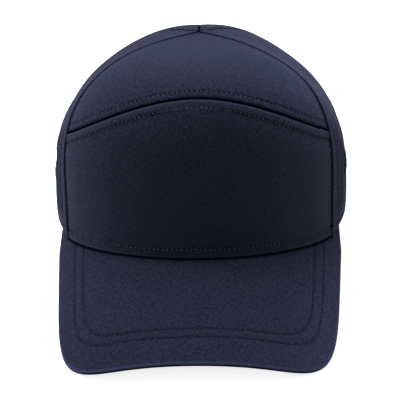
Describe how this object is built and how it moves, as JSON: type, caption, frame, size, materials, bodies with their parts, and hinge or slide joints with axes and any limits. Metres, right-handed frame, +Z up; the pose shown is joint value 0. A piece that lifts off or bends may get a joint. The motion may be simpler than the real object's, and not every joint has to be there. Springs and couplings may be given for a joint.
{
  "type": "bump cap",
  "caption": "Baseball-style bump cap: navy fabric cover with arched front panel, curved peak and nape strap over a padded protective shell.",
  "frame": {"origin": "centre of the bounding box on the surface that the cap stands on, resting on the corners of its peak and on its rear rim", "axes": "+Z up, -Y is the way the peak and the wearer's face point, +X is the wearer's left"},
  "size_m": [0.19, 0.301, 0.1356],
  "materials": {
    "cover_fabric": "navy cotton twill, matte",
    "cover_mesh": "navy knitted mesh",
    "binding_tape": "navy woven tape",
    "front_lining": "black non-woven lining",
    "hook_and_loop": "black hook-and-loop tape",
    "peak_board_plastic": "natural polyethylene board",
    "strap_webbing": "navy woven strap",
    "buckle_plastic": "black moulded acetal",
    "shell_plastic": "black ABS, satin",
    "pad_foam": "charcoal EVA foam with a brushed face",
    "sweatband_towelling": "navy towelling"
  },
  "bodies": {
    "insert": {"shell": "shell_plastic", "shell_hook_patches": "hook_and_loop", "crown_pad": "pad_foam", "front_pad": "pad_foam", "side_pad_right": "pad_foam", "side_pad_left": "pad_foam", "rear_pad_right": "pad_foam", "rear_pad_left": "pad_foam", "sweatband": "sweatband_towelling"},
    "cover": {"front_panel": "cover_fabric", "top_panel": "cover_fabric", "side_panel_right": "cover_fabric", "side_panel_left": "cover_fabric", "rear_panel_right": "cover_fabric", "rear_panel_left": "cover_fabric", "vent_mesh_right": "cover_mesh", "vent_mesh_left": "cover_mesh", "nape_binding": "binding_tape", "hem_band": "binding_tape", "front_lining": "front_lining", "seam_tapes": "binding_tape", "loop_patches": "hook_and_loop", "peak_top_cover": "cover_fabric", "peak_board": "peak_board_plastic", "peak_under_cover": "cover_fabric", "strap_band": "strap_webbing", "strap_loop_patch": "hook_and_loop", "buckle_tab": "strap_webbing", "buckle": "buckle_plastic"},
    "tail": {"strap_tail": "strap_webbing", "tail_hook_patch": "hook_and_loop"}
  },
  "joints": [
    {"name": "cover_lift", "type": "slide", "parent": "insert", "child": "cover", "axis": [0, 0.1331, 0.9911], "range_m": [0, 0.12]},
    {"name": "tail_peel", "type": "hinge", "parent": "cover", "child": "tail", "pos_m": [0.03, 0.14405, 0.01354], "axis": [0, -0.1331, -0.9911], "range_deg": [0, 150]}
  ]
}
